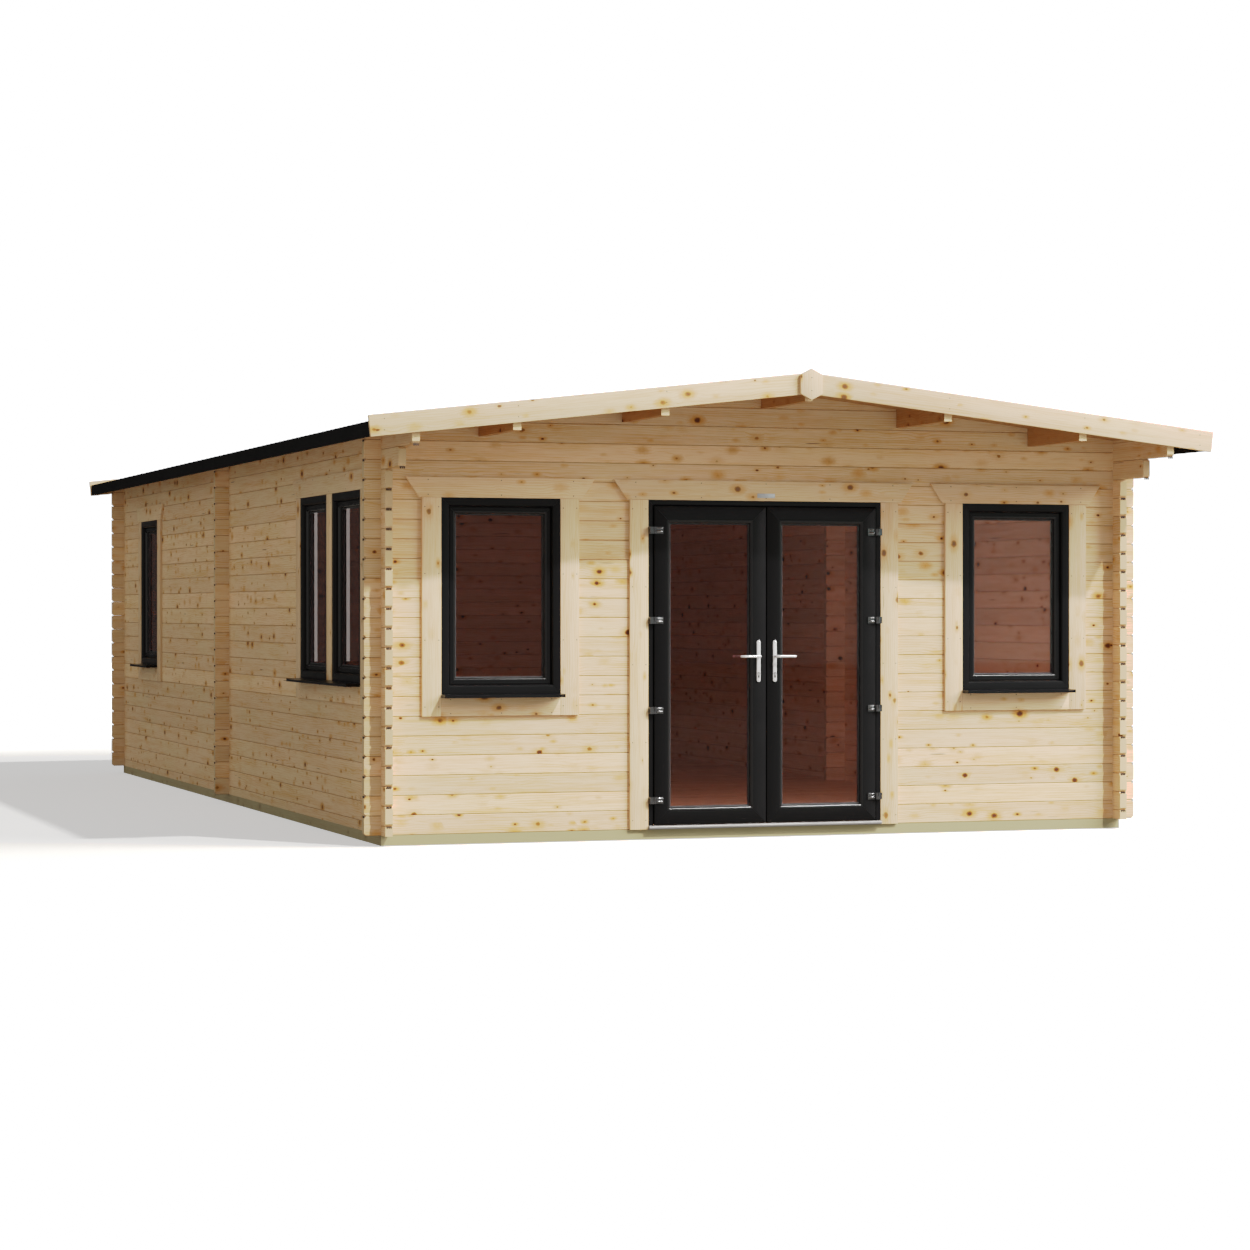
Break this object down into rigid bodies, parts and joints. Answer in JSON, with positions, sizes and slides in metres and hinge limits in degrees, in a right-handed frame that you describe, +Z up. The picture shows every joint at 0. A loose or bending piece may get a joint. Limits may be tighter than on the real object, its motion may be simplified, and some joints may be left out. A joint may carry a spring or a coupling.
{
  "type": "log cabin",
  "caption": "Log cabin with interlocking corners, low gabled felt roof, black-framed windows and glazed outward double doors.",
  "frame": {"origin": "middle of the plan at ground level, on the underside of the middle bearer, where the ground_face mount is", "axes": "+X to the right along the front wall as seen by someone facing the doors, +Y from the front wall to the back wall, +Z up"},
  "size_m": [5.25, 9.622, 2.7516],
  "materials": {
    "pine_log": "planed spruce, light cream with orange-brown knots and fine grain",
    "pine_beam": "planed spruce beam, light cream",
    "roof_board": "planed spruce boards, light cream",
    "floor_board": "planed spruce boards",
    "barge_board": "planed spruce, pale cream",
    "trim_board": "planed spruce, pale cream",
    "fascia_board": "board covered in black felt",
    "treated_bearer": "pressure treated softwood, grey green",
    "roof_felt": "black mineral felt, matte",
    "black_frame": "near black foiled plastic, satin with a fine grain",
    "black_cill": "near black plastic, satin",
    "bronze_glass": "clear double glazing that looks reddish brown",
    "threshold_metal": "satin aluminium",
    "hinge_metal": "dark grey satin",
    "bright_handle": "polished"
  },
  "bodies": {
    "cabin": {"base_bearers": "treated_bearer", "floor_boards": "floor_board", "front_wall_left": "pine_log", "front_wall_right": "pine_log", "front_gable": "pine_log", "back_wall": "pine_log", "left_wall_front": "pine_log", "left_wall_back": "pine_log", "right_wall_front": "pine_log", "right_wall_back": "pine_log", "mid_stub_left": "pine_log", "mid_stub_right": "pine_log", "ridge_purlin": "pine_beam", "side_purlins": "pine_beam", "roof_boards_left": "roof_board", "roof_boards_right": "roof_board", "roof_felt_left": "roof_felt", "roof_felt_right": "roof_felt", "eave_fascias": "fascia_board", "barge_boards_front": "barge_board", "barge_boards_back": "barge_board", "apex_blocks": "barge_board", "window_frames_front": "black_frame", "window_frames_side": "black_frame", "window_sashes_front": "black_frame", "window_sashes_side": "black_frame", "window_glass_front": "bronze_glass", "window_glass_side": "bronze_glass", "window_cills": "black_cill", "window_trims_front": "trim_board", "window_trims_side": "trim_board", "door_frame": "black_frame", "door_trims": "trim_board", "door_threshold": "threshold_metal", "frame_hinges": "hinge_metal"},
    "left_leaf": {"door_leaf_left": "black_frame", "door_glass_left": "bronze_glass", "leaf_hinges_left": "hinge_metal", "handle_plates_left": "bright_handle"},
    "right_leaf": {"door_leaf_right": "black_frame", "door_glass_right": "bronze_glass", "leaf_hinges_right": "hinge_metal", "handle_plates_right": "bright_handle"},
    "left_lever": {"handle_lever_left": "bright_handle"},
    "right_lever": {"handle_lever_right": "bright_handle"}
  },
  "joints": [
    {"name": "left_leaf_hinge", "type": "hinge", "parent": "cabin", "child": "left_leaf", "pos_m": [-0.713, -4.37, 1.03], "axis": [0, 0, -1], "range_deg": [0, 100]},
    {"name": "right_leaf_hinge", "type": "hinge", "parent": "cabin", "child": "right_leaf", "pos_m": [0.713, -4.37, 1.03], "axis": [0, 0, 1], "range_deg": [0, 100]},
    {"name": "left_lever_turn", "type": "hinge", "parent": "left_leaf", "child": "left_lever", "pos_m": [-0.052, -4.3245, 1.082], "axis": [0, -1, 0], "range_deg": [0, 40], "stiffness_Nm_per_rad": 2, "springref_deg": -22.92},
    {"name": "right_lever_turn", "type": "hinge", "parent": "right_leaf", "child": "right_lever", "pos_m": [0.052, -4.3245, 1.082], "axis": [0, 1, 0], "range_deg": [0, 40], "stiffness_Nm_per_rad": 2, "springref_deg": -22.92}
  ]
}
